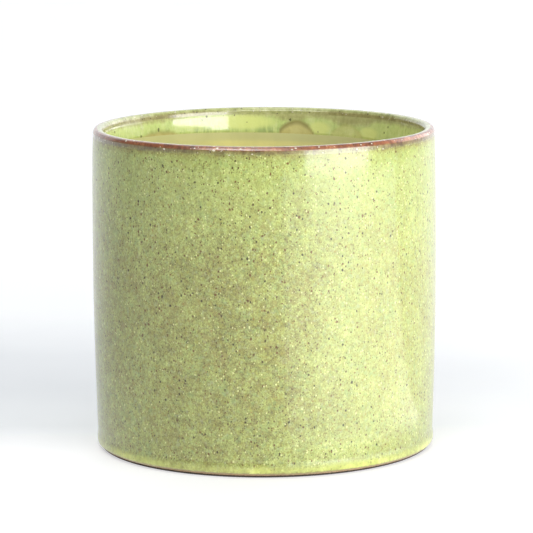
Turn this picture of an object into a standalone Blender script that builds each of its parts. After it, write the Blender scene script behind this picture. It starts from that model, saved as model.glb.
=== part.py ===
"""Cylindrical stoneware brush pot, glazed inside and out.

Built in layers, as the pot is made: a thrown clay body with a turned foot
ring, a liner glaze poured inside, a speckled outer glaze that the pot is
dipped into upside down (so it turns over the lip and stops at a level line
inside), and the thin iron-brown break where that glaze runs off the lip.

Metres, +Z up.  The origin is at the centre of the foot ring, on the surface
that the pot stands on, and the pot's axis of revolution is the Z axis.
"""
import math

import bmesh
import bpy

MM = 0.001

# ---- overall size (mm) ----------------------------------------------------
HEIGHT = 93.2            # foot face to the crest of the lip
BELLY_RADIUS = 50.0      # widest outer radius, glaze included
BELLY_DROP = 0.3925      # how far below the lip the belly sits, as a share of HEIGHT
BELLY_CURVE = 2.93       # how fast the outside draws in above and below the belly

# ---- layers (mm) ----------------------------------------------------------
GLAZE = 0.50             # glaze coat
GAP = 0.30               # clearance between two solids that touch
SKIN = GLAZE + GAP       # how far the clay lies behind a glazed surface

# ---- lip (mm) -------------------------------------------------------------
LIP_THICK = 3.0          # across the lip, glaze included
LIP_ROUND = 1.15         # radius of both lip corners at the glaze surface
RIM_OUT_DEPTH = 2.4      # how far the brown break reaches down outside
RIM_IN_DEPTH = 2.0       # how far it reaches down inside
DIP_DEPTH = 7.5          # depth of the level line where the outer glaze stops inside

# ---- inside (mm) ----------------------------------------------------------
FLARE_DEPTH = 6.5        # the inside flares out over this height below the crest
FLARE_RADIUS = 45.85     # inner radius at the foot of the flare
WELL_TOP_RADIUS = 45.55  # inner radius below the flare
WELL_LOW_RADIUS = 44.70  # inner radius just above the floor fillet
WELL_FILLET = 7.0        # fillet between wall and floor
FLOOR_TOP = 6.6          # upper surface of the liner glaze on the floor

# ---- foot (mm) ------------------------------------------------------------
FOOT_CHAMFER = 0.5       # bare clay corner at the table
FOOT_OUTER = 47.40       # outer radius of the face that the pot stands on
FOOT_INNER = 40.60       # inner radius of that face
RECESS_RADIUS = 39.40    # radius of the turned recess under the floor
RECESS_DEPTH = 1.8
GLAZE_LINE = 1.0         # the outer glaze stops this far above the table
ROLL_TOP = 4.6           # upper end of the thick glaze roll above that line
ROLL_PROUD = 0.28        # how far the roll stands proud of the wall

SEGMENTS = 72            # facets around the axis


# ---- profile functions ----------------------------------------------------
def outer_radius(z):
    """Outer surface of the glaze, a very slight barrel."""
    drop = 1.0 - z / HEIGHT
    return BELLY_RADIUS - BELLY_CURVE * (drop - BELLY_DROP) ** 2


def inner_radius(z):
    """Inner surface of the glaze, flared just under the lip."""
    flare_z = HEIGHT - FLARE_DEPTH
    if z >= flare_z:
        share = (z - flare_z) / FLARE_DEPTH
        lip = outer_radius(HEIGHT) - LIP_THICK
        return FLARE_RADIUS + (lip - FLARE_RADIUS) * share ** 1.2
    settle_z = flare_z - 6.0
    if z >= settle_z:
        share = (flare_z - z) / 6.0
        return FLARE_RADIUS + (WELL_TOP_RADIUS - FLARE_RADIUS) * math.sin(share * math.pi / 2)
    low_z = FLOOR_TOP + WELL_FILLET
    share = (settle_z - z) / (settle_z - low_z)
    return WELL_TOP_RADIUS + (WELL_LOW_RADIUS - WELL_TOP_RADIUS) * share


def arc(cx, cz, radius, start, end, steps):
    """Points of an arc in the RZ plane, angles in degrees."""
    points = []
    for i in range(steps + 1):
        a = math.radians(start + (end - start) * i / steps)
        points.append((cx + radius * math.cos(a), cz + radius * math.sin(a)))
    return points


def heights(low, high, count):
    """Evenly spaced heights from low to high, both included."""
    return [low + (high - low) * i / (count - 1) for i in range(count)]


def lip_corners(inset):
    """The lip's outside and inside corner arcs, set back by inset."""
    radius = LIP_ROUND - inset if LIP_ROUND > inset + 0.25 else 0.25
    top = HEIGHT - inset
    out_r = outer_radius(HEIGHT - LIP_ROUND) - inset
    in_r = inner_radius(HEIGHT - LIP_ROUND) + inset
    outside = arc(out_r - radius, top - radius, radius, 0, 90, 4)
    inside = arc(in_r + radius, top - radius, radius, 90, 180, 4)
    return outside, inside


# ---- solids ---------------------------------------------------------------
def turned(name, profile, material):
    """Spin a closed RZ profile (mm) round Z into one closed solid."""
    mesh = bpy.data.meshes.new(name)
    bm = bmesh.new()
    verts = [bm.verts.new((r * MM, 0.0, z * MM)) for r, z in profile]
    edges = []
    count = len(verts)
    for i in range(count):
        a, b = verts[i], verts[(i + 1) % count]
        if a.co.x < 1e-9 and b.co.x < 1e-9:
            continue                       # the axis itself makes no face
        edges.append(bm.edges.new((a, b)))
    bmesh.ops.spin(bm, geom=verts + edges, cent=(0, 0, 0), axis=(0, 0, 1),
                   angle=2 * math.pi, steps=SEGMENTS, use_merge=True)
    bmesh.ops.remove_doubles(bm, verts=bm.verts[:], dist=1e-6)
    bmesh.ops.recalc_face_normals(bm, faces=bm.faces[:])
    bm.to_mesh(mesh)
    bm.free()
    mesh.shade_smooth()
    mesh.set_sharp_from_angle(angle=math.radians(35))
    obj = bpy.data.objects.new(name, mesh)
    obj.data.materials.append(material)
    bpy.context.scene.collection.objects.link(obj)
    obj.parent = pot
    return obj


def material(name, colour, roughness):
    mat = bpy.data.materials.new(name)
    mat.use_nodes = True
    shader = mat.node_tree.nodes["Principled BSDF"]
    shader.inputs["Base Color"].default_value = (*colour, 1.0)
    shader.inputs["Roughness"].default_value = roughness
    shader.inputs["Metallic"].default_value = 0.0
    return mat


def clay_profile():
    """Clay body: foot, outside wall, lip, inside wall, floor, recess."""
    points = [(RECESS_RADIUS, RECESS_DEPTH), (FOOT_INNER, 0.0), (FOOT_OUTER, 0.0)]
    for z in [FOOT_CHAMFER] + heights(4.0, HEIGHT - 4.0, 9):
        points.append((outer_radius(z) - SKIN, z))
    outside, inside = lip_corners(SKIN)
    points += outside + inside
    low_z = FLOOR_TOP + WELL_FILLET
    wall = [HEIGHT - 4.0, HEIGHT - FLARE_DEPTH, HEIGHT - FLARE_DEPTH - 6.0]
    wall += heights(low_z, 66.0, 4)[::-1]
    for z in wall:
        points.append((inner_radius(z) + SKIN, z))
    centre_r = WELL_LOW_RADIUS - WELL_FILLET
    points += arc(centre_r, low_z, WELL_FILLET + SKIN, 0, -90, 5)[1:]
    points += [(0.0, FLOOR_TOP - SKIN), (0.0, RECESS_DEPTH)]
    return points


def outer_glaze_profile():
    """Sleeve of glaze outside, from the roll at the foot to the brown break."""
    top = HEIGHT - RIM_OUT_DEPTH - GAP
    points = []
    # the roll where the running glaze stopped above the foot
    for z in heights(GLAZE_LINE, ROLL_TOP, 7):
        share = (z - GLAZE_LINE) / (ROLL_TOP - GLAZE_LINE)
        proud = ROLL_PROUD * math.sin(math.pi * share ** 0.75) if share > 0 else -0.22
        points.append((outer_radius(z) + proud, z))
    for z in heights(ROLL_TOP + 5.0, top, 10):
        points.append((outer_radius(z), z))
    for z in [top] + heights(4.0, top - 8.0, 9)[::-1] + [GLAZE_LINE]:
        points.append((outer_radius(z) - GLAZE, z))
    return points


def rim_profile():
    """The break over the lip: both corners and the narrow top between them."""
    outside, inside = lip_corners(0.0)
    outside_back, inside_back = lip_corners(GLAZE)
    low_out = HEIGHT - RIM_OUT_DEPTH
    low_in = HEIGHT - RIM_IN_DEPTH
    points = [(outer_radius(low_out), low_out)]
    points += outside + inside
    points += [(inner_radius(low_in), low_in), (inner_radius(low_in) + GLAZE, low_in)]
    points += inside_back[::-1] + outside_back[::-1]
    points += [(outer_radius(low_out) - GLAZE, low_out)]
    return points


def inner_band_profile():
    """The outer glaze turned over the lip, down to its level line inside."""
    top = HEIGHT - RIM_IN_DEPTH - GAP
    low = HEIGHT - DIP_DEPTH
    front = [(inner_radius(z), z) for z in (top, top - 2.0, HEIGHT - FLARE_DEPTH, low)]
    back = [(r + GLAZE, z) for r, z in front]
    return front + back[::-1]


def liner_profile():
    """Cup of liner glaze: wall below the level line, fillet and floor."""
    top = HEIGHT - DIP_DEPTH - GAP
    low_z = FLOOR_TOP + WELL_FILLET
    centre_r = WELL_LOW_RADIUS - WELL_FILLET
    wall = [top, HEIGHT - FLARE_DEPTH - 6.0] + heights(low_z, 66.0, 4)[::-1]
    front = [(inner_radius(z), z) for z in wall]
    front += arc(centre_r, low_z, WELL_FILLET, 0, -90, 5)[1:]
    back = [(inner_radius(z) + GLAZE, z) for z in wall]
    back += arc(centre_r, low_z, WELL_FILLET + GLAZE, 0, -90, 5)[1:]
    return front + [(0.0, FLOOR_TOP), (0.0, FLOOR_TOP - GLAZE)] + back[::-1]


# ---- build ----------------------------------------------------------------
for item in list(bpy.data.objects):
    bpy.data.objects.remove(item, do_unlink=True)

pot = bpy.data.objects.new("pot", None)
bpy.context.scene.collection.objects.link(pot)

clay = material("bare_stoneware", (0.50, 0.31, 0.19), 0.85)
speckled = material("speckled_green_glaze", (0.36, 0.42, 0.17), 0.22)
brown = material("iron_brown_break", (0.30, 0.10, 0.05), 0.30)
liner = material("olive_liner_glaze", (0.46, 0.45, 0.19), 0.25)

turned("stoneware_body", clay_profile(), clay)
turned("outer_glaze", outer_glaze_profile(), speckled)
turned("rim_glaze", rim_profile(), brown)
turned("inner_rim_glaze", inner_band_profile(), speckled)
turned("liner_glaze", liner_profile(), liner)
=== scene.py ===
import math

import bmesh
import bpy
import numpy as np
from mathutils import Matrix, Vector, noise


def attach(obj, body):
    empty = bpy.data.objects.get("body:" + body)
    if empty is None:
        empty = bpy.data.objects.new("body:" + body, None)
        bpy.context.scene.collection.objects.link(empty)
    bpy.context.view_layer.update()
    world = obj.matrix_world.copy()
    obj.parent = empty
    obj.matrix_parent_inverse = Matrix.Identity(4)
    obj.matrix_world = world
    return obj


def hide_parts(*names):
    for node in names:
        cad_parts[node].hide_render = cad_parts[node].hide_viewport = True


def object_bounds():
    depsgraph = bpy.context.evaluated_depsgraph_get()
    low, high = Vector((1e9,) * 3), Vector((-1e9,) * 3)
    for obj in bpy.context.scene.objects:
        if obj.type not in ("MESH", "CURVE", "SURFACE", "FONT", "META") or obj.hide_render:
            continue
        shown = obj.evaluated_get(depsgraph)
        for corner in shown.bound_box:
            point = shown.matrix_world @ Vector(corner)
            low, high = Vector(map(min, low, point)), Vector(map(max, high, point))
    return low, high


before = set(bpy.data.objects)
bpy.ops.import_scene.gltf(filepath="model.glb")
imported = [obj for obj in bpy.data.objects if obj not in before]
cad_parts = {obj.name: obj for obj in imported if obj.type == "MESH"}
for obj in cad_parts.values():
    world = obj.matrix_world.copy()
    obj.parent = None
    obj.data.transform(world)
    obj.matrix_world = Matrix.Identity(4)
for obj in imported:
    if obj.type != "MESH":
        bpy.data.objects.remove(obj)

CAD_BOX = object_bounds()
MM = 0.001

# ---------------------------------------------------------------------------
# The pot's own dimensions, in millimetres, as the CAD holds them
# ---------------------------------------------------------------------------
low, high = CAD_BOX
HEIGHT = (high[2] - low[2]) / MM
BELLY = (high[0] - low[0]) / MM / 2
BELLY_DROP, BELLY_CURVE = 0.3925, 2.93
LIP_THICK, LIP_ROUND = 3.0, 1.15
RIM_OUT, RIM_IN = 2.4, 2.0
DIP_DEPTH = 7.5
FLARE_DEPTH, FLARE_RADIUS = 6.5, 45.85
WELL_TOP, WELL_LOW, WELL_FILLET, FLOOR_TOP = 45.55, 44.70, 7.0, 6.6
FOOT_CHAMFER, FOOT_OUTER, FOOT_INNER = 0.5, 47.40, 40.60
RECESS_R, RECESS_D = 39.40, 1.8
GLAZE, GLAZE_LINE, ROLL_TOP, ROLL_PROUD = 0.50, 1.0, 4.6, 0.28
SETBACK = 0.13            # room for the relief, so it never passes the CAD box

SEG = 512


def outer_radius(z):
    drop = 1.0 - z / HEIGHT
    return BELLY - BELLY_CURVE * (drop - BELLY_DROP) ** 2


def inner_radius(z):
    flare_z = HEIGHT - FLARE_DEPTH
    lip = outer_radius(HEIGHT) - LIP_THICK
    up = np.clip((z - flare_z) / FLARE_DEPTH, 0, 1)
    settle = np.clip((flare_z - z) / 6.0, 0, 1)
    low_z = FLOOR_TOP + WELL_FILLET
    down = np.clip((flare_z - 6.0 - z) / (flare_z - 6.0 - low_z), 0, 1)
    r = FLARE_RADIUS + (lip - FLARE_RADIUS) * up ** 1.2
    r = r + (WELL_TOP - FLARE_RADIUS) * np.sin(settle * math.pi / 2)
    return r + (WELL_LOW - WELL_TOP) * down


def smooth(a, b, x):
    t = np.clip((x - a) / (b - a), 0.0, 1.0)
    return t * t * (3 - 2 * t)


def bump(x, centre, width):
    """A soft bump, 1 at centre and 0 beyond width."""
    return smooth(1.0, 0.0, np.abs(x - centre) / width)


def swirl(x, y, z, size, seed, octaves=3):
    """Fractal noise on arrays of points (mm), about -1 to 1, features of `size` mm."""
    shape = np.shape(x)
    k = 1.0 / size
    pts = np.stack([np.ravel(x) * k + seed * 7.13, np.ravel(y) * k - seed * 3.71, np.ravel(z) * k + seed], 1)
    out = np.array([noise.fractal(Vector(p), 1.0, 2.0, octaves) for p in pts])
    return np.reshape(out, shape)


# ---------------------------------------------------------------------------
# Turned meshes: rows of rings, each ring SEG points, with values per vertex
# ---------------------------------------------------------------------------
THETA = np.linspace(0, 2 * math.pi, SEG, endpoint=False)


def rings_mesh(name, r, z, loops, values=None, pole_front=None):
    """r and z are (rings, SEG) arrays in mm.  loops says how rings close up:
    'tube' joins the last ring to the first; 'cup' fills both ends with a pole."""
    n = r.shape[0]
    x = r * np.cos(THETA)[None, :]
    y = r * np.sin(THETA)[None, :]
    verts = np.stack([x, y, z], -1).reshape(-1, 3) * MM
    faces = []
    idx = np.arange(n * SEG).reshape(n, SEG)
    pairs = [(i, i + 1) for i in range(n - 1)]
    if loops == "tube":
        pairs.append((n - 1, 0))
    for a, b in pairs:
        A, B = idx[a], idx[b]
        An, Bn = np.roll(A, -1), np.roll(B, -1)
        faces.append(np.stack([A, An, Bn, B], -1))
    faces = np.concatenate(faces).tolist()
    verts = verts.tolist()
    if loops == "cup":
        first, last = pole_front
        for ring, zc in ((0, first), (n - 1, last)):
            if zc is None:
                continue
            c = len(verts)
            verts.append((0.0, 0.0, zc * MM))
            R = idx[ring]
            Rn = np.roll(R, -1)
            for p, q in zip(R.tolist(), Rn.tolist()):
                faces.append([p, q, c])
    mesh = bpy.data.meshes.new(name)
    mesh.from_pydata(verts, [], faces)
    bm = bmesh.new()
    bm.from_mesh(mesh)
    bmesh.ops.recalc_face_normals(bm, faces=bm.faces[:])
    if bm.calc_volume(signed=True) < 0:
        bmesh.ops.reverse_faces(bm, faces=bm.faces[:])
    bm.to_mesh(mesh)
    bm.free()
    mesh.shade_smooth()
    mesh.set_sharp_from_angle(angle=math.radians(50))
    for key, arr in (values or {}).items():
        att = mesh.attributes.new(key, "FLOAT", "POINT")
        flat = np.ravel(arr)
        full = np.zeros(len(mesh.vertices))
        full[:flat.size] = flat
        if full.size > flat.size:
            full[flat.size:] = flat[:1] if loops != "cup" else flat[-1]
        att.data.foreach_set("value", full.astype(np.float32))
    obj = bpy.data.objects.new(name, mesh)
    bpy.context.scene.collection.objects.link(obj)
    return obj


def grid(zs):
    """Rows of one height each, spread round the ring."""
    return np.repeat(np.asarray(zs, float)[:, None], SEG, 1)


TH = THETA[None, :]


def xy(r):
    return r * np.cos(TH), r * np.sin(TH)


def angle_from(deg):
    """Signed angle in degrees from the bearing `deg`, for each column."""
    d = np.degrees(TH) - deg
    return (d + 180) % 360 - 180


# path along the lip's section from the middle of its crest to the edges of its band
LIP_OUT, LIP_IN = 3.406, 3.006

# soft drifts of lighter (+) and browner (-) glaze on the outside; the lighter drifts at bearings -66 to -50 are
# painted light, brightening the right front where the key light and its sheen fall:
# (bearing in degrees, height mm, half width mm, half height mm, amount)
DRIFTS = [(-90.0, 84.0, 30.0, 9.0, 0.30), (-112.0, 84.5, 26.0, 7.0, 0.15), (-100.0, 46.0, 24.0, 26.0, -0.28),
          (-84.0, 22.0, 20.0, 22.0, -0.30), (-122.0, 20.0, 13.0, 11.0, -0.25), (-138.0, 14.0, 14.0, 9.0, 0.30),
          (-66.0, 44.0, 10.0, 30.0, 0.45), (-50.0, 16.0, 20.0, 12.0, 0.35), (-36.0, 40.0, 16.0, 20.0, 0.0), (-66.0, 6.5, 17.0, 5.0, 1.0),
          (-60.0, 34.0, 14.0, 12.0, 0.16), (-20.0, 70.0, 22.0, 14.0, 0.25), (20.0, 30.0, 26.0, 18.0, -0.3),
          (55.0, 76.0, 30.0, 12.0, 0.4), (80.0, 40.0, 24.0, 22.0, -0.25), (115.0, 60.0, 26.0, 18.0, 0.2),
          (150.0, 26.0, 28.0, 16.0, -0.3), (170.0, 78.0, 26.0, 12.0, 0.35), (-165.0, 46.0, 20.0, 24.0, -0.2)]


def brown_wash():
    """How strongly the break shades brown below the lip, round the pot."""
    w = 0.95 + 0.25 * np.sin(3 * TH + 1.0) * np.sin(TH - 0.4)
    w = w - 0.40 * np.exp(-(angle_from(-58.0) / 15.0) ** 4) - 0.35 * np.exp(-(angle_from(-72.0) / 9.0) ** 2)
    w = w - 0.5 * np.exp(-(angle_from(70.0) / 22.0) ** 4) - 0.4 * np.exp(-(angle_from(168.0) / 18.0) ** 4)
    return np.clip(w, 0.1, 1.0)


def brown_inside():
    """How strongly the break shades olive brown inside the lip, round the pot."""
    w = 1.0 - 0.65 * np.exp(-(angle_from(88.0) / 22.0) ** 4) - 0.3 * np.exp(-(angle_from(215.0) / 25.0) ** 4)
    return w - 0.5 * np.exp(-(angle_from(300.0) / 18.0) ** 4)


def tone_map(z):
    out = np.zeros(np.broadcast(z, TH).shape)
    for bearing, height, wide, tall, amount in DRIFTS:
        across = np.radians(angle_from(bearing)) * BELLY
        out = out + amount * np.exp(-0.5 * ((across / wide) ** 2 + ((z - height) / tall) ** 2) * 2.2)
    return out


def pool_map():
    """How thick and bright the roll of glaze at the foot runs, round the pot."""
    p = 0.55 + 0.12 * np.sin(5 * TH + 1.0) + 0.10 * np.sin(11 * TH + 2.0)
    for bearing, half in ((-92.0, 5.0), (-58.0, 19.0), (-20.0, 9.0), (35.0, 14.0), (110.0, 20.0), (175.0, 10.0), (214.0, 8.0)):
        p = np.maximum(p, 1.0 * np.exp(-(angle_from(bearing) / half) ** 4))
    return np.clip(p, 0.35, 1.0)


def veil_map():
    """Where the glaze lies thicker its mottling is softer."""
    v = 0.34 * np.exp(-(angle_from(-36.0) / 36.0) ** 6) + 0.20 * np.exp(-(angle_from(95.0) / 30.0) ** 4)
    return v


# how thick the glaze lies: thin is brown, thick is yellow-green ------------
def wall_relief(r, z, seed):
    x, y = xy(r)
    return 0.6 * swirl(x, y, z * 0.8, 7.0, seed, 2) + 0.4 * swirl(x, y, z, 2.2, seed + 1, 2)


def make_outer():
    top = HEIGHT - RIM_OUT
    rows = [GLAZE_LINE + 0.02, 1.06, 1.16, 1.32, 1.55, 1.85, 2.2, 2.6, 3.0, 3.4, 3.8, 4.2, 4.6, 5.0]
    rows += list(np.arange(5.6, top - 0.3, 0.55)) + [top - 0.005]
    z = grid(rows)
    wave = 0.35 * np.sin(3 * TH + 0.6) + 0.3 * np.sin(7 * TH + 2.1) + 0.25 * np.sin(13 * TH + 4.0)
    # the lower edge of the glaze wanders a little above the table
    lift = 0.16 * wave * smooth(4.0, 1.0, z)
    zz = z + lift
    base = outer_radius(zz) - SETBACK
    relief = wall_relief(base, zz, 3.0) * 0.035
    relief = relief * smooth(1.2, 5.0, zz) * smooth(HEIGHT - RIM_OUT, HEIGHT - RIM_OUT - 2.0, zz)
    share = np.clip((zz - GLAZE_LINE - lift) / (ROLL_TOP - GLAZE_LINE), 0, 1)
    roll = (ROLL_PROUD + 0.06 * wave) * np.sin(math.pi * share ** 0.62)
    tuck = -0.42 * smooth(1.75, 1.0, z) ** 2
    r = base + relief + roll + tuck
    # the wall draws in a touch more just under the lip
    r = r - 0.10 * smooth(HEIGHT - 9.0, HEIGHT - 1.0, zz) ** 1.5
    back_z = grid([top - 0.005, top - 20, 40.0, 8.0, GLAZE_LINE + 0.02])
    back_lift = 0.16 * wave * smooth(4.0, 1.0, back_z)
    back_r = outer_radius(back_z) - GLAZE - SETBACK + 0.0 * TH
    R = np.concatenate([r, back_r])
    Z = np.concatenate([zz, back_z + back_lift])
    lip = LIP_OUT + (HEIGHT - RIM_OUT - zz)
    lip = np.concatenate([lip, np.full_like(back_z, 50.0)])
    tone = np.concatenate([tone_map(zz), np.zeros_like(back_z)])
    wash = np.concatenate([brown_wash() + 0 * zz, np.zeros_like(back_z)])
    return rings_mesh("outer_glaze_coat", R, Z, "tube", {"lip": lip, "tone": tone, "wash": wash, "pool": pool_map() + 0 * R, "veil": veil_map() + 0 * R})


def lip_point(t):
    """Lip section, t from 0 (outside foot of the band) to 1 (inside foot)."""
    top = HEIGHT
    out_r = outer_radius(HEIGHT - LIP_ROUND)
    in_r = float(inner_radius(HEIGHT - LIP_ROUND))
    lo_out, lo_in = HEIGHT - RIM_OUT, HEIGHT - RIM_IN
    pts = [(outer_radius(lo_out), lo_out)]

    def corner(a, flat):
        """A point on a lip corner at angle `a`, flattened a few hundredths round `flat` (sponged)."""
        x, y = LIP_ROUND * math.cos(a), LIP_ROUND * math.sin(a)
        fx, fy = math.cos(math.radians(flat)), math.sin(math.radians(flat))
        over = max(0.0, x * fx + y * fy - LIP_ROUND * math.cos(math.radians(21)))
        return x - over * fx, y - over * fy

    for i in range(19):
        x, y = corner(math.radians(90 * i / 18), 27.0)
        pts.append((out_r - LIP_ROUND + x, top - LIP_ROUND + y))
    for i in range(1, 19):
        x, y = corner(math.radians(90 + 90 * i / 18), 153.0)
        pts.append((in_r + LIP_ROUND + x, top - LIP_ROUND + y))
    pts.append((float(inner_radius(lo_in)), lo_in))
    pts = np.array(pts)
    seg = np.r_[0, np.cumsum(np.hypot(*np.diff(pts, axis=0).T))]
    s = np.asarray(t) * seg[-1]
    return np.interp(s, seg, pts[:, 0]), np.interp(s, seg, pts[:, 1]), s, seg[-1]


def make_rim():
    n = 44
    t = np.linspace(0, 1, n)
    r0, z0, s, total = lip_point(t)
    r = np.repeat(r0[:, None], SEG, 1)
    z = np.repeat(z0[:, None], SEG, 1)
    # the lip is thrown: its crest dips and its edges wander by a few hundredths
    crest = smooth(HEIGHT - 3.0, HEIGHT, z)
    dip = 0.07 * (1 + np.sin(2 * TH + 1.0)) / 2 + 0.05 * (1 + np.sin(5 * TH + 2.2)) / 2
    x, y = xy(r)
    pits = swirl(x, y, z, 2.0, 11.0, 3)
    z = z - crest * (dip + 0.03 + 0.03 * pits)
    mid = outer_radius(HEIGHT) - LIP_THICK / 2
    side = np.sign(r0 - mid)[:, None]
    edge = (side > 0) * SETBACK
    r = r - edge - (side > 0) * 0.10 * smooth(HEIGHT - 9.0, HEIGHT - 1.0, z) ** 1.5
    r = r + 0.025 * pits * crest
    inner_lay = 0.0
    back_t = np.linspace(1, 0, 14)
    br, bz, _, _ = lip_point(back_t)
    inward = 0.42
    cx = mid
    back_r = br + np.where(br > cx, -inward - SETBACK, inward)
    back_z = np.minimum(bz, HEIGHT - inward - 0.1)
    back_r = np.repeat(back_r[:, None], SEG, 1)
    back_z = np.repeat(back_z[:, None], SEG, 1)
    R = np.concatenate([r, back_r])
    Z = np.concatenate([z, back_z])
    # thin on both corners of the lip, a little thicker on its flat top
    pos = s / total
    corner_out = bump(pos, 0.33, 0.21)
    corner_in = bump(pos, 0.70, 0.12)
    below = smooth(0.30, 0.0, pos)
    thick = 0.42 * np.ones_like(pos)
    thick = thick - 0.42 * corner_out - 0.30 * corner_in + 0.05 * below
    top_flat = bump(pos, 0.52, 0.09)
    thick = thick + 0.35 * top_flat + 0.25 * smooth(0.80, 1.0, pos)
    thick = np.repeat(thick[:, None], SEG, 1)
    lipc = np.repeat(np.clip(top_flat, 0, 1)[:, None], SEG, 1)
    outc = np.repeat((corner_out * 1.0 + below * 0.0)[:, None], SEG, 1)
    pad = np.ones_like(back_z) * 0.3
    lip = np.repeat((LIP_OUT - s)[:, None], SEG, 1)
    tone = np.concatenate([tone_map(z) * (lip > 0), np.zeros_like(back_z)])
    return rings_mesh("rim_break_coat", R, Z, "tube",
                      {"thick": np.concatenate([thick, pad]), "lip": np.concatenate([lip, pad * 50]),
                       "wash": np.concatenate([np.where(lip > 0, brown_wash(), brown_inside()), pad]), "tone": tone})


# the level line inside tilts: deeper on one side, shallower on the other
TILT_DEEP, TILT_SHALLOW = 8.6, 6.4
TILT_BEARING = 8.0          # degrees from +X towards +Y where it is deepest


def line_depth():
    mid = (TILT_DEEP + TILT_SHALLOW) / 2
    amp = (TILT_DEEP - TILT_SHALLOW) / 2
    return mid + amp * np.cos(np.radians(angle_from(TILT_BEARING)))


# where the dipped glaze drew back and left arches over the liner:
# (bearing, half width in degrees, height in mm above the line)
ARCHES = [(77.4, 7.0, 3.75), (56.7, 7.4, 3.6), (133.0, 9.5, 0.95), (188.0, 9.0, 2.6),
          (236.0, 10.0, 1.6), (292.0, 8.0, 3.0), (331.0, 9.0, 1.9), (14.0, 6.0, 1.2)]


def arch_height():
    h = np.zeros((1, SEG))
    for bearing, half, tall in ARCHES:
        d = np.abs(angle_from(bearing)) / half
        h = np.maximum(h, tall * np.clip(1 - d ** 2.1, 0, 1) ** 0.85)
    return h


# thick pale lobes of glaze beside the arches: (bearing, half width, from, to above the line, amount)
LOBES = [(98.0, 13.0, 0.8, 5.6, 0.9), (68.4, 4.6, -0.2, 4.2, 1.0), (46.6, 4.8, -0.2, 3.8, 0.9), (118.0, 8.0, 1.2, 4.4, 0.5),
         (172.0, 6.0, 0.4, 4.0, 0.7), (204.0, 7.0, 0.4, 4.5, 0.7), (256.0, 8.0, 0.5, 4.0, 0.6),
         (280.0, 5.0, 0.2, 3.6, 0.7), (308.0, 8.0, 0.4, 4.2, 0.7), (345.0, 6.0, 0.4, 3.8, 0.6)]


def lobe_map(above):
    out = np.zeros(np.broadcast(above, TH).shape)
    for bearing, half, lo, hi, amount in LOBES:
        mid, tall = (lo + hi) / 2, (hi - lo) / 2
        d = (angle_from(bearing) / half) ** 2 + ((above - mid) / tall) ** 2
        out = np.maximum(out, amount * smooth(1.25, 0.25, d))
    return out


def arch_near():
    """1 close to an arch, 0 where the level line runs plain."""
    near = np.zeros((1, SEG))
    for bearing, half, tall in ARCHES:
        near = np.maximum(near, tall * smooth(2.0, 1.1, np.abs(angle_from(bearing)) / half))
    return near


def arch_strength():
    """The dark line round an arch is crisp on some and soft on others."""
    return 1.0 - 0.93 * np.exp(-(angle_from(56.7) / 10.0) ** 4) - 0.55 * np.exp(-(angle_from(133.0) / 14.0) ** 4) - 0.4 * np.exp(-(angle_from(236.0) / 14.0) ** 4)


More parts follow.
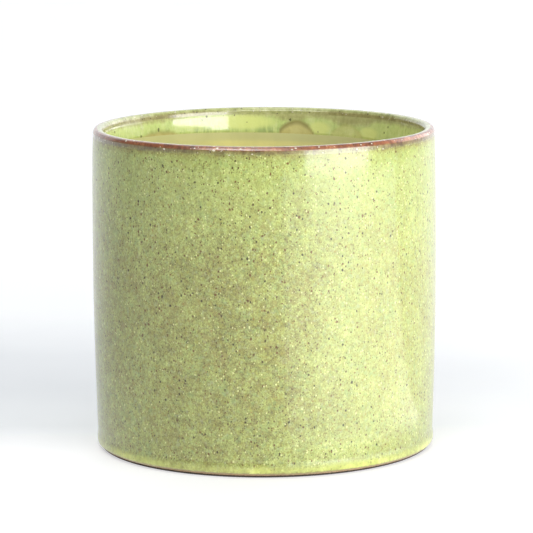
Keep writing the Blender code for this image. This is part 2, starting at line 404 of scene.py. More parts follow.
def make_inner_band():
    n = 34
    t = np.linspace(0, 1, n)[:, None]
    top = HEIGHT - RIM_IN + 0.005
    bottom = HEIGHT - line_depth()
    z = top + (bottom - top) * t
    above = z - bottom
    arch = arch_height()
    x, y = xy(45.8)
    ragged = 0.35 * swirl(x, y, 0 * x, 2.5, 21.0, 2)
    edge = above - (arch + ragged * (arch > 0.05))
    inside = smooth(-0.7, 0.5, edge)              # 1 on the thick glaze
    rolls = bump(edge, 0.45, 0.8) * (1 - 0.9 * np.exp(-(angle_from(132.0) / 16.0) ** 4))
    fingers = swirl(x, y, 0 * x, 1.6, 23.0, 2)
    thick = 0.55 + 0.45 * inside
    drip = smooth(0.3, 1.2, arch_near())
    proud = 0.03 + 0.05 * inside + 0.09 * rolls * drip * (0.6 + 0.4 * fingers)
    proud = proud * smooth(0.0, 0.12, t) * smooth(1.0, 0.90, t)
    share = np.clip((z - (HEIGHT - FLARE_DEPTH)) / FLARE_DEPTH, 0, 1)
    straight = (share - share ** 1.2) * (outer_radius(HEIGHT) - LIP_THICK - FLARE_RADIUS)
    r = inner_radius(z) + straight * smooth(0.0, 0.12, t) * smooth(118.0, 106.0, np.degrees(TH)) - proud
    # colour: brown where the edge of the thick glaze thins over an arch
    body = 0.5 + 0.5 * smooth(0, 4.5, HEIGHT - RIM_IN - z) + 0.12 * fingers
    contour = bump(edge, -0.15, 1.45) * smooth(0.15, 0.9, arch) * arch_strength()
    contour = np.maximum(contour, 0.30 * bump(edge, 1.0, 2.0) * smooth(2.0, 3.5, arch))
    lobe = lobe_map(above + 0 * TH) * inside
    thick = body * inside + 0.30 * (1 - inside)
    # the brown runs lower over the arches
    sag = 1.7 * np.exp(-(angle_from(55.0) / 9.5) ** 4) + 0.8 * np.exp(-(angle_from(79.0) / 6.0) ** 4) \
        + 0.6 * np.exp(-(angle_from(188.0) / 9.0) ** 4) + 1.0 * np.exp(-(angle_from(292.0) / 9.0) ** 4)
    lip = -(LIP_IN + (HEIGHT - RIM_IN - z)) + sag
    back_z = np.concatenate([bottom + 0 * TH, (bottom + top) / 2, top + 0 * TH])
    back_r = inner_radius(back_z) + 0.42
    R = np.concatenate([r, back_r])
    Z = np.concatenate([z, back_z])
    pad = np.zeros_like(back_z)
    teal = np.exp(-(angle_from(112.0) / 5.0) ** 2) + np.exp(-(angle_from(89.0) / 4.5) ** 2)
    teeth = smooth(3.2, 0.1, above) * inside * np.clip(0.45 * smooth(-0.1, 0.55, fingers + 0.25) + teal, 0, 1)
    # painted light: the back-right inner wall, in shade from the key, is lightened towards cream
    painted_light_back_right = np.exp(-(angle_from(40.0) / 50.0) ** 4) * np.ones_like(z)
    # the olive band is thinned round the pot; at bearing 111 it is cleared as a painted highlight under the key
    # light's reflection on the back-left wall
    ease_and_painted_highlight = 1.0 - (0.85 * np.exp(-(angle_from(111.0) / 12.0) ** 4) + 0.5 * np.exp(-(angle_from(201.0) / 14.0) ** 4)
                  + 0.6 * np.exp(-(angle_from(268.0) / 16.0) ** 4)) * np.ones_like(z)
    return rings_mesh("inner_rim_coat", R, Z, "tube",
                      {"thick": np.concatenate([thick, pad + 0.5]),
                       "bare": np.concatenate([(1 - inside) * (1 - 0.6 * np.exp(-(angle_from(57.7) / 10.0) ** 4)), pad]),
                       "contour": np.concatenate([contour, pad]),
                       "teeth": np.concatenate([teeth, pad]), "ease_and_painted_highlight": np.concatenate([ease_and_painted_highlight, pad]),
                       "painted_light_back_right": np.concatenate([painted_light_back_right, pad]), "lobe": np.concatenate([lobe, pad]),
                       "lip": np.concatenate([lip + 0 * TH, pad - 9.0])})


def make_liner():
    n = 70
    low_z = FLOOR_TOP + WELL_FILLET
    start = HEIGHT - line_depth() - 0.004
    t = (np.linspace(0, 1, n) ** 1.25)[:, None]
    z = start + (low_z - start) * t
    r = inner_radius(z) + 0 * TH
    # fillet
    m = 16
    a = np.radians(np.linspace(0, -90, m))[1:, None]
    cr = WELL_LOW - WELL_FILLET
    fz = low_z + WELL_FILLET * np.sin(a) + 0 * TH
    fr = cr + WELL_FILLET * np.cos(a) + 0 * TH
    # floor with a faint thrown spiral and a shallow glaze pool
    k = 60
    u = np.linspace(1, 0.02, k)[1:, None]
    flr = cr * u + 0 * TH
    spiral = 0.06 * np.sin(2 * math.pi * flr / 6.5 - TH) * smooth(0.0, 6.0, flr) * smooth(cr, cr - 5.0, flr)
    flz = FLOOR_TOP - 0.12 + spiral + 0.05 * (flr / cr) ** 2
    rings_r = np.concatenate([r, fr, flr])
    rings_z = np.concatenate([z, fz, flz])
    turning = 0.05 * np.sin(2 * math.pi * rings_z / 7.3 + 1.3 * np.sin(TH)) * smooth(cr, cr + 4, rings_r) \
        * smooth(HEIGHT - 10.0, HEIGHT - 18.0, rings_z)
    rings_r = rings_r + turning
    depth = HEIGHT - rings_z
    # back of the coat
    bz = np.concatenate([start * 1.0 + 0 * TH])
    back_r = np.concatenate([inner_radius(bz) + 0.42, inner_radius(grid([60.0])) + 0.42,
                             inner_radius(grid([low_z])) + 0.42,
                             grid([cr + (WELL_FILLET + 0.42) * math.cos(math.radians(-45))]),
                             grid([cr]), grid([cr * 0.05])])
    back_z = np.concatenate([bz, grid([60.0]), grid([low_z]),
                             grid([low_z + (WELL_FILLET + 0.42) * math.sin(math.radians(-45))]),
                             grid([FLOOR_TOP - 0.45]), grid([FLOOR_TOP - 0.45])])
    R = np.concatenate([back_r[::-1], rings_r])
    Z = np.concatenate([back_z[::-1], rings_z])
    below = depth - line_depth()
    warm = smooth(1.7, 3.2, below) * smooth(8.0, 5.0, below) * np.exp(-(angle_from(88.0) / 26.0) ** 4)
    deep = np.concatenate([np.full_like(back_z, 8.0), below])
    warm = np.concatenate([np.zeros_like(back_z), warm])
    # painted light: the back-right liner, in shade from the key, is lightened towards cream
    painted_light_back_right = np.exp(-(angle_from(40.0) / 50.0) ** 4) * smooth(14.0, 4.0, below)
    painted_light_back_right = np.concatenate([np.zeros_like(back_z), painted_light_back_right])
    return rings_mesh("liner_coat", R, Z, "cup", {"deep": deep, "warm": warm, "painted_light_back_right": painted_light_back_right}, (FLOOR_TOP - 0.45, FLOOR_TOP - 0.12))


def make_clay():
    """The clay body: foot ring, turned recess, and the core behind the coats."""
    pts = []
    k = 40
    for u in np.linspace(0.02, 1, k):
        r = RECESS_R * u
        pts.append((r, RECESS_D - 0.10 * (0.5 + 0.5 * math.sin(r * 2 * math.pi / 3.1)) * (1 if r > 2 else 0)))
    for u in np.linspace(0, 1, 6)[1:]:
        pts.append((RECESS_R + (FOOT_INNER - 0.3 - RECESS_R) * u, RECESS_D * (1 - u) + 0.28 * u))
    pts += [(FOOT_INNER - 0.1, 0.09), (FOOT_INNER + 0.15, 0.0)]
    pts += [(FOOT_INNER + 1.5, 0.0), (FOOT_OUTER - 1.2, 0.0), (FOOT_OUTER - 0.15, 0.0), (FOOT_OUTER + 0.18, 0.10)]
    r1 = outer_radius(FOOT_CHAMFER) - 0.80
    pts += [(r1 - 0.12, FOOT_CHAMFER - 0.14), (r1, FOOT_CHAMFER + 0.05)]
    for z in (0.8, 1.0, 1.3, 2.5, 8.0, 30.0, 60.0, 85.0, HEIGHT - 2.2, HEIGHT - 1.3):
        pts.append((outer_radius(z) - 0.80, z))
    pts += [(outer_radius(HEIGHT) - 1.2, HEIGHT - 0.85), (outer_radius(HEIGHT) - 1.8, HEIGHT - 0.85)]
    for z in (HEIGHT - 1.4, HEIGHT - 2.5, HEIGHT - 6.5, HEIGHT - 12.5, 50.0, FLOOR_TOP + WELL_FILLET):
        pts.append((float(inner_radius(z)) + 0.8, z))
    cr = WELL_LOW - WELL_FILLET
    for d in (-30, -60, -90):
        pts.append((cr + (WELL_FILLET + 0.8) * math.cos(math.radians(d)),
                    FLOOR_TOP + WELL_FILLET + (WELL_FILLET + 0.8) * math.sin(math.radians(d))))
    pts.append((1.0, FLOOR_TOP - 0.8))
    pts = np.array(pts)
    r = np.repeat(pts[:, :1], SEG, 1)
    z = np.repeat(pts[:, 1:], SEG, 1)
    x, y = xy(r)
    rough = 0.02 * swirl(x, y, z, 2.4, 31.0, 2)
    z = np.where(z < 0.02, z, np.where(z < 1.9, np.maximum(z + rough, 0.0), z))
    return rings_mesh("clay_body", r, z, "cup", {"deep": z}, (RECESS_D - 0.05, FLOOR_TOP - 0.8))


# ---------------------------------------------------------------------------
# Materials
# ---------------------------------------------------------------------------
def lin(r, g, b):
    def f(c):
        c = c / 255.0
        return c / 12.92 if c <= 0.04045 else ((c + 0.055) / 1.055) ** 2.4
    return (f(r), f(g), f(b), 1.0)


class Nodes:
    """Small helper for writing node trees in order."""

    def __init__(self, name):
        self.mat = bpy.data.materials.new(name)
        self.mat.use_nodes = True
        self.tree = self.mat.node_tree
        self.shader = self.tree.nodes["Principled BSDF"]
        self.x = -1800

    def new(self, kind, **props):
        node = self.tree.nodes.new(kind)
        self.x += 30
        node.location = (self.x, 300)
        for key, value in props.items():
            setattr(node, key, value)
        return node

    def put(self, socket, value):
        if hasattr(value, "is_output") or isinstance(value, bpy.types.NodeSocket):
            self.tree.links.new(value, socket)
        else:
            socket.default_value = value

    def math(self, op, a, b=0.0, c=0.0, clamp=False):
        node = self.new("ShaderNodeMath", operation=op, use_clamp=clamp)
        self.put(node.inputs[0], a)
        self.put(node.inputs[1], b)
        if op in ("MULTIPLY_ADD", "SMOOTH_MIN", "SMOOTH_MAX", "COMPARE"):
            self.put(node.inputs[2], c)
        return node.outputs[0]

    def vmath(self, op, a, b=(0, 0, 0), scale=None):
        node = self.new("ShaderNodeVectorMath", operation=op)
        self.put(node.inputs[0], a)
        if op == "SCALE":
            self.put(node.inputs["Scale"], scale)
        else:
            self.put(node.inputs[1], b)
        return node.outputs[0]

    def coords(self):
        """Object position in millimetres."""
        tc = self.new("ShaderNodeTexCoord")
        return self.vmath("SCALE", tc.outputs["Object"], scale=1000.0)

    def noise(self, vec, size, detail=2.0, rough=0.5, distort=0.0, stretch=(1, 1, 1), offset=(0, 0, 0)):
        v = self.vmath("MULTIPLY", vec, stretch) if stretch != (1, 1, 1) else vec
        v = self.vmath("ADD", v, offset) if offset != (0, 0, 0) else v
        node = self.new("ShaderNodeTexNoise", noise_dimensions="3D")
        self.put(node.inputs["Vector"], v)
        node.inputs["Scale"].default_value = 1.0 / size
        node.inputs["Detail"].default_value = detail
        node.inputs["Roughness"].default_value = rough
        node.inputs["Distortion"].default_value = distort
        return node.outputs[0]

    def cells(self, vec, size, feature="F1", stretch=(1, 1, 1), offset=(0, 0, 0)):
        v = self.vmath("MULTIPLY", vec, stretch) if stretch != (1, 1, 1) else vec
        v = self.vmath("ADD", v, offset) if offset != (0, 0, 0) else v
        node = self.new("ShaderNodeTexVoronoi", voronoi_dimensions="3D", feature=feature)
        self.put(node.inputs["Vector"], v)
        node.inputs["Scale"].default_value = 1.0 / size
        node.inputs["Randomness"].default_value = 1.0
        return node

    def ramp(self, fac, stops, interpolation="LINEAR"):
        node = self.new("ShaderNodeValToRGB")
        node.color_ramp.interpolation = interpolation
        els = node.color_ramp.elements
        while len(els) > 1:
            els.remove(els[-1])
        els[0].position = stops[0][0]
        els[0].color = stops[0][1]
        for pos, col in stops[1:]:
            e = els.new(pos)
            e.color = col
        self.put(node.inputs[0], fac)
        return node.outputs[0]

    def step(self, x, lo, hi, smoothstep=True, to_min=0.0, to_max=1.0):
        node = self.new("ShaderNodeMapRange", interpolation_type="SMOOTHSTEP" if smoothstep else "LINEAR", clamp=True)
        self.put(node.inputs["Value"], x)
        node.inputs["From Min"].default_value = lo
        node.inputs["From Max"].default_value = hi
        node.inputs["To Min"].default_value = to_min
        node.inputs["To Max"].default_value = to_max
        return node.outputs[0]

    def mix(self, fac, a, b, mode="MIX"):
        node = self.new("ShaderNodeMix", data_type="RGBA", blend_type=mode)
        node.clamp_factor = True
        self.put(node.inputs[0], fac)
        self.put(node.inputs[6], a)
        self.put(node.inputs[7], b)
        return node.outputs[2]

    def attr(self, name):
        return self.new("ShaderNodeAttribute", attribute_type="GEOMETRY", attribute_name=name).outputs["Fac"]

    def bump(self, height, distance, strength=1.0, normal=None):
        node = self.new("ShaderNodeBump")
        node.inputs["Distance"].default_value = distance
        node.inputs["Strength"].default_value = strength
        self.put(node.inputs["Height"], height)
        if normal is not None:
            self.put(node.inputs["Normal"], normal)
        return node.outputs[0]

    def finish(self, colour, rough, normal=None, coat=0.0, coat_rough=0.05, ior=1.5, coat_ior=1.5):
        s = self.shader
        self.put(s.inputs["Base Color"], colour)
        self.put(s.inputs["Roughness"], rough)
        s.inputs["IOR"].default_value = ior
        s.inputs["Coat Weight"].default_value = coat
        s.inputs["Coat Roughness"].default_value = coat_rough
        s.inputs["Coat IOR"].default_value = coat_ior
        if normal is not None:
            self.put(s.inputs["Normal"], normal)
        return self.mat


def speckles(n, mm, size, radius, chance, offset, stretch=(1, 1, 0.8), soft=0.09):
    """Round-ish specks: cells of `size` mm of which `chance` hold a speck."""
    warp = n.noise(mm, 0.7, 1.0, offset=offset)
    node = n.cells(mm, size, stretch=stretch, offset=offset)
    colour = n.new("ShaderNodeSeparateColor")
    n.put(colour.inputs[0], node.outputs["Color"])
    present = n.step(colour.outputs[0], chance, chance - 0.01, smoothstep=False)
    rad = n.math("MULTIPLY_ADD", colour.outputs[1], radius * 0.7 / size, radius * 0.3 / size)
    rad = n.math("MULTIPLY", rad, n.math("MULTIPLY_ADD", warp, 1.6, 0.2))
    d = n.math("SUBTRACT", rad, node.outputs["Distance"])
    mask = n.step(d, -soft / size, soft / size)
    return n.math("MULTIPLY", mask, present), colour.outputs[2]


def centred(n, noise_out, gain, base):
    """base + gain * (noise - 0.5)"""
    return n.math("MULTIPLY_ADD", n.math("SUBTRACT", noise_out, 0.5), gain, base)


class Glaze:
    """The mottled green ash glaze, shared by every coat it appears in."""

    def __init__(self, name, gain=1.0):
        n = self.n = Nodes(name)
        mm = self.mm = n.coords()
        self.big = n.noise(mm, 15.0, 2.0, 0.45, stretch=(1, 1, 0.8), offset=(3.1, 8.0, 1.7))
        self.mid = n.noise(mm, 3.4, 2.0, 0.5, 0.3, stretch=(1, 1, 0.85), offset=(9.0, 2.0, 5.0))
        self.fine = n.noise(mm, 1.0, 3.0, 0.6, 0.2, stretch=(1, 1, 0.8))
        self.tiny = n.noise(mm, 0.40, 2.0, 0.65, 0.6, stretch=(1, 1, 0.8), offset=(4, 4, 4))
        self.xyz = n.new("ShaderNodeSeparateXYZ")
        n.put(self.xyz.inputs[0], mm)
        self.z = self.xyz.outputs[2]
        t = centred(n, self.big, 0.20 * gain, 0.5)
        t = centred(n, self.mid, 0.42 * gain, t)
        t = centred(n, self.fine, 0.72 * gain, t)
        self.t = centred(n, self.tiny, 1.05 * gain, t)

    def colour(self, t):
        n = self.n
        c = n.ramp(t, [(0.0, lin(76, 60, 34)), (0.16, lin(104, 96, 50)), (0.34, lin(136, 136, 76)),
                       (0.50, lin(156, 162, 92)), (0.66, lin(179, 190, 110)), (0.82, lin(203, 213, 134)),
                       (1.0, lin(230, 234, 180))])
        hue = centred(n, n.noise(self.mm, 9.0, 2.0, 0.5, stretch=(1, 1, 0.8), offset=(40, 11, 2)), 0.55, 0.5)
        drift = n.noise(self.mm, 1.5, 2.0, 0.6, 0.0, offset=(17, 31, 12))
        hue = centred(n, drift, 1.25, hue)
        sat = n.noise(self.mm, 1.2, 2.0, 0.6, 0.0, offset=(7, 1, 52))
        c = n.mix(n.step(sat, 0.52, 0.80, to_max=0.64), c, lin(168, 176, 134))
        c = n.mix(n.step(sat, 0.48, 0.20, to_max=0.62), c, lin(160, 158, 66))
        c = n.mix(n.step(hue, 0.52, 0.84, to_max=0.46), c, lin(138, 166, 104))
        return n.mix(n.step(hue, 0.48, 0.18, to_max=0.46), c, lin(156, 144, 84))

    def specks(self, c, clear=None, amount=1.0):
        n, mm = self.n, self.mm
        s1, h1 = speckles(n, mm, 0.80, 0.31, 0.26, (0, 0, 0))
        s2, _ = speckles(n, mm, 0.55, 0.19, 0.53, (13, 7, 5), soft=0.06)
        s3, _ = speckles(n, mm, 0.66, 0.23, 0.17, (5, 31, 17), soft=0.06)
        s4, _ = speckles(n, mm, 0.78, 0.24, 0.22, (25, 3, 47))
        self.s1, self.s3 = s1, s3
        def k(mask, f):
            m = n.math("MULTIPLY", mask, f * amount)
            return m if clear is None else n.math("MULTIPLY", m, clear)
        c = n.mix(k(s4, 0.55), c, lin(150, 108, 48))
        c = n.mix(k(s2, 0.66), c, lin(92, 72, 38))
        c = n.mix(k(s1, 0.88), c, n.mix(n.step(h1, 0.15, 0.7), lin(44, 31, 18), lin(104, 68, 32)))
        return n.mix(k(s3, 0.68), c, lin(236, 238, 168))

    def skin(self, strength=0.00010, extra=None):
        n = self.n
        h = centred(n, self.tiny, 0.35, n.math("MULTIPLY", self.fine, 0.6))
        h = n.math("MULTIPLY_ADD", self.mid, 0.9, h)
        if extra is not None:
            h = n.math("ADD", h, extra)
        return n.bump(h, strength, 1.0)


def make_materials():
    mats = {}
    # ---- outer coat --------------------------------------------------------
    g = Glaze("speckled_green_glaze")
    n, mm, z = g.n, g.mm, g.z
    tone = n.attr("tone")
    lip = n.attr("lip")
    veil = n.attr("veil")
    t = n.math("ADD", n.math("MULTIPLY", g.t, n.math("SUBTRACT", 1.0, veil)), n.math("MULTIPLY", veil, 0.55))
    # tone carries the drifts, with their painted light on the right front
    t = n.math("MULTIPLY_ADD", tone, 0.15, t)
    t = n.math("ADD", t, n.step(z, 70.0, 86.0, to_max=0.02))
    colour = g.colour(t)
    # greener towards the top, browner towards the middle and the bottom
    colour = n.mix(n.step(z, 60.0, 86.0, to_max=0.30), colour, n.mix(g.fine, lin(150, 170, 98), lin(196, 212, 124)))
    colour = n.mix(n.step(n.math("ABSOLUTE", n.math("SUBTRACT", z, 36.0)), 34.0, 10.0, to_max=0.05), colour, lin(166, 154, 98))
    # thick rolled glaze at the foot is clear yellow-green, then a brown edge
    edge_z = n.math("ADD", z, centred(n, g.mid, 1.8, 0.0))
    roll = n.math("MULTIPLY", n.step(edge_z, 4.2, 2.2), n.attr("pool"))
    roll_colour = n.ramp(centred(n, g.fine, 0.5, g.mid),
                         [(0.25, lin(184, 192, 98)), (0.5, lin(208, 216, 114)), (0.75, lin(228, 234, 140))])
    colour = n.mix(n.math("MULTIPLY", roll, 0.94), colour, roll_colour)
    rim_z = n.math("ADD", z, centred(n, g.fine, 0.9, 0.0))
    colour = n.mix(n.step(rim_z, 1.75, 1.20, to_max=0.85), colour, lin(156, 132, 84))
    # the last of the brown break under the lip
    v = n.math("ADD", lip, centred(n, g.mid, 1.3, 0.0))
    v = n.math("ADD", v, centred(n, g.fine, 1.1, 0.0))
    wash = n.attr("wash")
    colour = n.mix(n.math("MULTIPLY", n.step(v, 5.4, 3.3, to_max=0.55), wash), colour, lin(140, 126, 68))
    colour = n.mix(n.math("MULTIPLY", n.step(v, 3.9, 2.9, to_max=0.7), wash), colour, lin(116, 94, 60))
    colour = g.specks(colour, n.step(z, 2.0, 5.0, to_min=0.35))
    extra = n.math("MULTIPLY_ADD", g.s3, 0.5, n.math("MULTIPLY", g.s1, 0.3))
    normal = g.skin(0.00011, extra)
    rough = n.step(g.fine, 0.3, 0.75, smoothstep=False, to_min=0.34, to_max=0.50)
    mats["outer"] = n.finish(colour, rough, normal, coat=0.80, coat_rough=0.11, ior=1.36, coat_ior=1.58)

    # ---- rim break ---------------------------------------------------------
    g = Glaze("iron_brown_break")
    n, mm, z = g.n, g.mm, g.z
    lip = n.attr("lip")
    tone = n.attr("tone")
    green = g.colour(n.math("MULTIPLY_ADD", tone, 0.15, n.math("ADD", g.t, 0.02)))
    patch = n.noise(mm, 3.2, 3.0, 0.6, 0.3, offset=(70, 3, 4))
    red = n.ramp(centred(n, g.fine, 0.9, patch),
                 [(0.22, lin(98, 62, 42)), (0.42, lin(136, 82, 54)), (0.60, lin(164, 98, 62)), (0.85, lin(206, 150, 110))])
    brown = n.ramp(centred(n, g.fine, 0.9, patch), [(0.3, lin(94, 78, 50)), (0.55, lin(122, 102, 62)), (0.8, lin(146, 126, 78))])
    jit = n.math("ADD", centred(n, g.fine, 0.9, 0.0), centred(n, patch, 0.8, 0.0))
    v = n.math("ADD", lip, jit)
    # outside: red on the corner, brown under it, then the green coat again
    wash = n.attr("wash")
    colour = n.mix(n.math("MULTIPLY", n.step(v, 4.0, 2.6), wash), green, brown)
    colour = n.mix(n.step(v, 2.4, 1.7), colour, red)
    # the flat of the lip and the top of its inner corner hold thicker green
    crest = n.ramp(centred(n, g.fine, 0.7, patch), [(0.3, lin(168, 176, 108)), (0.5, lin(192, 200, 130)), (0.75, lin(214, 218, 160))])
    colour = n.mix(n.step(n.math("MULTIPLY_ADD", jit, 0.5, lip), 0.55, 0.05), colour, crest)
    vin = n.math("MULTIPLY", v, -1.0)
    olive = n.ramp(centred(n, g.fine, 0.9, patch), [(0.3, lin(152, 134, 88)), (0.55, lin(174, 158, 106)), (0.8, lin(194, 184, 130))])
    colour = n.mix(n.math("MULTIPLY", n.step(vin, 1.3, 2.3, to_max=0.72), wash), colour, olive)
    fleck, _ = speckles(n, mm, 0.75, 0.27, 0.26, (3, 3, 8), stretch=(0.7, 0.7, 1), soft=0.06)
    colour = n.mix(n.math("MULTIPLY", fleck, 0.85), colour, lin(232, 226, 200))
    dark, _ = speckles(n, mm, 0.9, 0.30, 0.22, (23, 13, 8), stretch=(1, 1, 1))
    colour = n.mix(n.math("MULTIPLY", dark, 0.7), colour, lin(58, 38, 26))
    normal = g.skin(0.00013, n.math("MULTIPLY", fleck, 0.7))
    mats["rim"] = n.finish(colour, 0.34, normal, coat=1.0, coat_rough=0.14, coat_ior=1.64)

    # ---- inner rim coat ----------------------------------------------------
    g = Glaze("speckled_green_glaze_inside", 0.8)
    n, mm, z = g.n, g.mm, g.z
    lip = n.attr("lip")
    bare, contour, teeth = n.attr("bare"), n.attr("contour"), n.attr("teeth")
    streak = n.noise(mm, 1.3, 3.0, 0.6, 0.2, stretch=(1, 1, 0.16), offset=(6, 2, 1))
    bright = n.ramp(centred(n, g.fine, 0.6, streak),
                    [(0.2, lin(200, 221, 132)), (0.42, lin(225, 245, 152)), (0.60, lin(234, 250, 164)), (0.85, lin(243, 252, 194))])
    colour = n.mix(0.82, g.colour(n.math("ADD", g.t, 0.12)), bright)
    colour = n.mix(n.math("MULTIPLY", teeth, n.step(streak, 0.60, 0.40, to_max=0.6)), colour, lin(140, 168, 110))
    vin = n.math("MULTIPLY", lip, -1.0)
    vin = n.math("ADD", vin, centred(n, g.mid, 1.8, 0.0))
    vin = n.math("ADD", vin, centred(n, g.fine, 0.9, 0.0))
    olive = n.ramp(centred(n, g.fine, 0.9, g.mid), [(0.3, lin(158, 142, 92)), (0.55, lin(178, 166, 112)), (0.8, lin(196, 188, 132))])
    # the olive is cleared at bearing 111 as a painted highlight
    colour = n.mix(n.math("MULTIPLY", n.step(vin, 4.7, 2.9, to_max=0.66), n.attr("ease_and_painted_highlight")), colour, olive)
    thin = n.ramp(centred(n, g.fine, 0.4, g.mid),
                  [(0.3, lin(212, 200, 126)), (0.55, lin(226, 216, 142)), (0.8, lin(232, 226, 152))])
    colour = n.mix(bare, colour, thin)
    colour = n.mix(n.math("MULTIPLY", contour, 0.85), colour, lin(150, 138, 78))
    colour = n.mix(n.math("MULTIPLY", n.attr("lobe"), 0.92), colour, lin(246, 255, 158))
    s1, _ = speckles(n, mm, 1.2, 0.42, 0.10, (4, 0, 9))
    # painted light: cream laid over the shaded back-right inner wall
    colour = n.mix(n.math("MULTIPLY", n.attr("painted_light_back_right"), 0.12), colour, lin(246, 248, 205))
    colour = n.mix(n.math("MULTIPLY", n.math("MULTIPLY", s1, 0.75), n.math("SUBTRACT", 1.0, bare)), colour, lin(64, 60, 32))
    normal = g.skin(0.00011)
    mats["inner"] = n.finish(colour, 0.24, normal, coat=1.0, coat_rough=0.06, coat_ior=1.58)

    # ---- liner -------------------------------------------------------------
    n = Nodes("olive_liner_glaze")
    mm = n.coords()
    deep = n.attr("deep")
    warm = n.attr("warm")
    soft = n.noise(mm, 16.0, 2.0, 0.5, offset=(2, 7, 3))
    cloud = n.noise(mm, 5.0, 3.0, 0.5, 0.2, stretch=(1, 1, 0.5), offset=(8, 1, 6))
    grain = n.noise(mm, 0.8, 3.0, 0.6, offset=(8, 1, 6))
    v = centred(n, soft, 2.4, deep)
    colour = n.ramp(n.step(v, -0.5, 30.0, smoothstep=False),
                    [(0.0, lin(218, 216, 152)), (0.10, lin(224, 220, 150)), (0.25, lin(232, 222, 142)),
                     (0.60, lin(220, 213, 134)), (1.0, lin(208, 203, 130))])
    colour = n.mix(n.math("MULTIPLY", warm, 0.95), colour, lin(255, 246, 160))
    colour = n.mix(n.step(cloud, 0.35, 0.75, to_max=0.18), colour, lin(176, 178, 110))
    colour = n.mix(n.step(grain, 0.5, 0.85, to_max=0.25), colour, lin(214, 210, 150))
    fleck, _ = speckles(n, mm, 3.2, 0.4, 0.08, (9, 9, 1), stretch=(1, 1, 1))
    colour = n.mix(n.math("MULTIPLY", fleck, 0.35), colour, lin(140, 120, 70))
    # painted light: cream laid over the shaded back-right liner
    colour = n.mix(n.math("MULTIPLY", n.attr("painted_light_back_right"), 0.30), colour, lin(246, 246, 205))
    height = n.math("MULTIPLY_ADD", grain, 0.25, n.math("MULTIPLY", cloud, 0.8))
    normal = n.bump(height, 0.00008, 1.0)
    rough = n.step(cloud, 0.3, 0.7, smoothstep=False, to_min=0.48, to_max=0.60)
    mats["liner"] = n.finish(colour, rough, normal)

    # ---- clay --------------------------------------------------------------
    n = Nodes("bare_stoneware")
    mm = n.coords()
    patch = n.noise(mm, 9.0, 3.0, 0.55, offset=(2, 3, 3))
    grain = n.noise(mm, 0.55, 4.0, 0.65)
    sep = n.new("ShaderNodeSeparateXYZ")
    n.put(sep.inputs[0], mm)
    rad = n.math("SQRT", n.math("ADD", n.math("MULTIPLY", sep.outputs[0], sep.outputs[0]),
                                n.math("MULTIPLY", sep.outputs[1], sep.outputs[1])))
    ringn = n.new("ShaderNodeCombineXYZ")
    n.put(ringn.inputs[0], rad)
    n.put(ringn.inputs[2], n.math("MULTIPLY", sep.outputs[2], 1.0))
    rings = n.noise(ringn.outputs[0], 0.8, 2.0, 0.6)
    v = centred(n, grain, 0.8, patch)
    v = centred(n, rings, 0.35, v)
    colour = n.ramp(v, [(0.2, lin(164, 134, 104)), (0.42, lin(196, 166, 132)), (0.6, lin(212, 186, 152)), (0.85, lin(226, 204, 176))])
    dark, _ = speckles(n, mm, 1.0, 0.32, 0.22, (2, 0, 0), stretch=(1, 1, 1))
    colour = n.mix(n.math("MULTIPLY", dark, 0.8), colour, lin(84, 60, 42))
    toast = n.step(n.math("ADD", rad, n.math("MULTIPLY", patch, 1.0)), 47.9, 48.8)
    colour = n.mix(n.math("MULTIPLY", toast, 0.5), colour, lin(186, 152, 112))
    # painted shadow: the lowest edge of the foot is darkened near black where the contact shadow lies under the
    # chamfer
    painted_contact_shadow = n.math("MULTIPLY", n.step(n.math("ADD", sep.outputs[2], centred(n, grain, 0.25, 0.0)), 0.86, 0.62), n.step(rad, 46.9, 47.3))
    colour = n.mix(n.math("MULTIPLY", painted_contact_shadow, 0.95), colour, lin(38, 33, 31))
    height = n.math("MULTIPLY_ADD", grain, 0.8, n.math("MULTIPLY", rings, 0.6))
    normal = n.bump(height, 0.00022, 1.0)
    rough = n.step(grain, 0.3, 0.7, smoothstep=False, to_min=0.72, to_max=0.92)
    mats["clay"] = n.finish(colour, rough, normal)
    return mats


# ---------------------------------------------------------------------------
# Camera first, then the pieces
# ---------------------------------------------------------------------------
def aim(obj, target):
    direction = Vector(target) - obj.location
    obj.rotation_euler = direction.to_track_quat("-Z", "Y").to_euler()


FOCAL_PX, DIST, PITCH, ROLL = 3250.0, 0.9457, math.radians(9.33), math.radians(-0.305)
cam_data = bpy.data.cameras.new("view")
cam = bpy.data.objects.new("view", cam_data)
bpy.context.scene.collection.objects.link(cam)
cam_data.sensor_width = 36.0
cam_data.sensor_fit = "HORIZONTAL"
cam_data.lens = FOCAL_PX / 533.0 * 36.0
cam_data.clip_start = 0.01
cam_data.shift_x = 2.03 / 533.0
centre = Vector((0, 0, 0.05195))
view_dir = Vector((0, math.cos(PITCH), -math.sin(PITCH)))
cam.location = centre - view_dir * DIST
rot = view_dir.to_track_quat("-Z", "Y").to_matrix().to_4x4()
cam.matrix_world = Matrix.Translation(cam.location) @ rot @ Matrix.Rotation(ROLL, 4, "Z")
bpy.context.scene.camera = cam

mats = make_materials()
outer = make_outer()
rim = make_rim()
band = make_inner_band()
liner = make_liner()
clay = make_clay()
for piece, key, node, slot in ((outer, "outer", "outer_glaze", "speckled_green_glaze"),
                               (rim, "rim", "rim_glaze", "iron_brown_break"),
                               (band, "inner", "inner_rim_glaze", "speckled_green_glaze"),
                               (liner, "liner", "liner_glaze", "olive_liner_glaze"),
                               (clay, "clay", "stoneware_body", "bare_stoneware")):
    piece.data.materials.append(mats[key])
    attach(piece, "root")
    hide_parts(node)


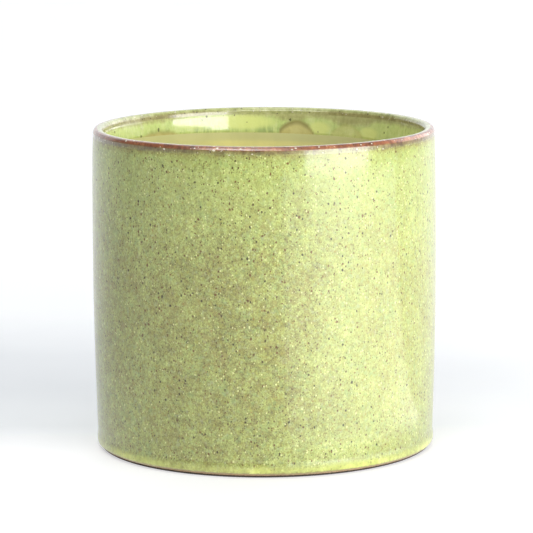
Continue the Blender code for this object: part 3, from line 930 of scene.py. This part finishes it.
# ---------------------------------------------------------------------------
# Floor and light
# ---------------------------------------------------------------------------
def floor_material():
    n = Nodes("pale_floor")
    mm = n.coords()
    soft = n.noise(mm, 60.0, 2.0, 0.5)
    colour = n.ramp(soft, [(0.3, (0.50, 0.505, 0.51, 1)), (0.7, (0.54, 0.542, 0.545, 1))])
    xyz = n.new("ShaderNodeSeparateXYZ")
    n.put(xyz.inputs[0], mm)
    x, y = xyz.outputs[0], xyz.outputs[1]
    # the table top is painted with light: it glows brighter to the right, where the key falls, and a cool band
    # behind the pot on its left is a painted shadow of the pot
    band = n.ramp(n.step(y, -40.0, 700.0, smoothstep=False),
                  [(0.0, (1.15, 1.15, 1.17, 1)), (0.035, (1.1, 1.1, 1.12, 1)), (0.085, (0.66, 0.70, 0.74, 1)), (0.16, (0.60, 0.64, 0.69, 1)),
                   (0.24, (0.62, 0.66, 0.71, 1)), (0.34, (0.86, 0.89, 0.92, 1)), (0.55, (1.08, 1.10, 1.12, 1)), (1.0, (1.08, 1.10, 1.12, 1))])
    floor_painted_light = n.mix(n.step(x, -30.0, 160.0, to_max=0.62), band, (1.25, 1.25, 1.27, 1))
    n.put(n.shader.inputs["Emission Color"], floor_painted_light)
    n.shader.inputs["Emission Strength"].default_value = 0.50
    return n.finish(colour, 0.6)


def mesh_object(name, verts, faces, mat):
    mesh = bpy.data.meshes.new(name)
    mesh.from_pydata(verts, [], faces)
    mesh.shade_smooth()
    obj = bpy.data.objects.new(name, mesh)
    bpy.context.scene.collection.objects.link(obj)
    obj.data.materials.append(mat)
    return obj


def make_floor():
    """A pale table top that sweeps up behind the pot."""
    rows = [(-0.75, 0.0), (0.0, 0.0), (0.6, 0.0)]
    for i in range(1, 17):
        a = math.radians(90 * i / 16)
        rows.append((0.6 + 0.5 * math.sin(a), 0.5 - 0.5 * math.cos(a)))
    rows.append((1.1, 2.2))
    xs = (-1.6, -0.5, 0.0, 0.9)
    verts = [(x, y, z - 0.00005) for y, z in rows for x in xs]
    faces = []
    w = len(xs)
    for i in range(len(rows) - 1):
        for j in range(w - 1):
            a = i * w + j
            faces.append((a, a + 1, a + w + 1, a + w))
    return mesh_object("floor", verts, faces, floor_material())


def glow_material(name, strength):
    n = Nodes(name)
    mm = n.coords()
    soft = n.noise(mm, 160.0, 1.0, 0.5)
    n.put(n.shader.inputs["Emission Color"], n.ramp(soft, [(0.3, (0.96, 0.97, 1.0, 1)), (0.7, (1.0, 1.0, 1.0, 1))]))
    n.shader.inputs["Emission Strength"].default_value = strength
    return n.finish((0.6, 0.6, 0.6, 1), 0.8)


def reflector(b0, b1, r0, r1, strength, lift=0.002):
    """A bright card lying on the table between two bearings, right of the camera."""
    verts, faces = [], []
    steps = 8
    for i in range(steps + 1):
        b = math.radians(b0 + (b1 - b0) * i / steps)
        for r in (r0, r1):
            verts.append((r * math.sin(b), -r * math.cos(b), lift))
    for i in range(steps):
        a = 2 * i
        faces.append((a, a + 1, a + 3, a + 2))
    return mesh_object("card", verts, faces, glow_material("card_glow", strength))


def area(name, bearing, dist, low_z, high_z, width, radiance, colour=(1, 1, 1), target_z=None):
    """A soft box standing `dist` from the pot; bearing is degrees to the right of the camera."""
    data = bpy.data.lights.new(name, "AREA")
    data.shape = "RECTANGLE"
    data.size = width
    data.size_y = high_z - low_z
    data.energy = radiance * math.pi * width * (high_z - low_z)
    data.color = colour
    obj = bpy.data.objects.new(name, data)
    b = math.radians(bearing)
    obj.location = (dist * math.sin(b), -dist * math.cos(b), (low_z + high_z) / 2)
    bpy.context.scene.collection.objects.link(obj)
    aim(obj, (0, 0, (low_z + high_z) / 2 if target_z is None else target_z))
    return obj


make_floor()
reflector(12.0, 30.0, 0.075, 0.95, 1.5)
reflector(30.0, 94.0, 0.075, 0.95, 2.05)
area("key", 49.6, 1.05, 0.0, 0.85, 0.88, 2.35)
area("key_core", 49.6, 1.04, 0.0, 0.34, 0.87, 4.6)


def overhead(name, x, y, z, wide, deep, radiance):
    """A soft box hung above the table, facing down."""
    data = bpy.data.lights.new(name, "AREA")
    data.shape = "RECTANGLE"
    data.size, data.size_y = wide, deep
    data.energy = radiance * math.pi * wide * deep
    obj = bpy.data.objects.new(name, data)
    obj.location = (x, y, z)
    bpy.context.scene.collection.objects.link(obj)
    aim(obj, (x * 0.3, y * 0.3, 0.0))
    return obj


overhead("overhead", -0.05, -0.15, 1.5, 1.6, 1.3, 0.50)
overhead("overhead_strip", -0.13, -0.05, 1.3, 1.35, 0.56, 1.6)
area("front_top", -12.0, 0.90, 0.91, 1.04, 1.6, 9.0, target_z=0.09)
area("edge_fill", 125.0, 1.0, 0.10, 0.85, 0.80, 1.9)

world = bpy.data.worlds.new("studio")
world.use_nodes = True
bg = world.node_tree.nodes["Background"]
bg.inputs[0].default_value = (0.95, 0.97, 1.0, 1)
bg.inputs[1].default_value = 0.10
bpy.context.scene.world = world
bpy.context.scene.view_settings.view_transform = "Standard"
bpy.context.scene.view_settings.look = "None"
bpy.context.scene.view_settings.exposure = 0.0
bpy.context.scene.view_settings.gamma = 1.0
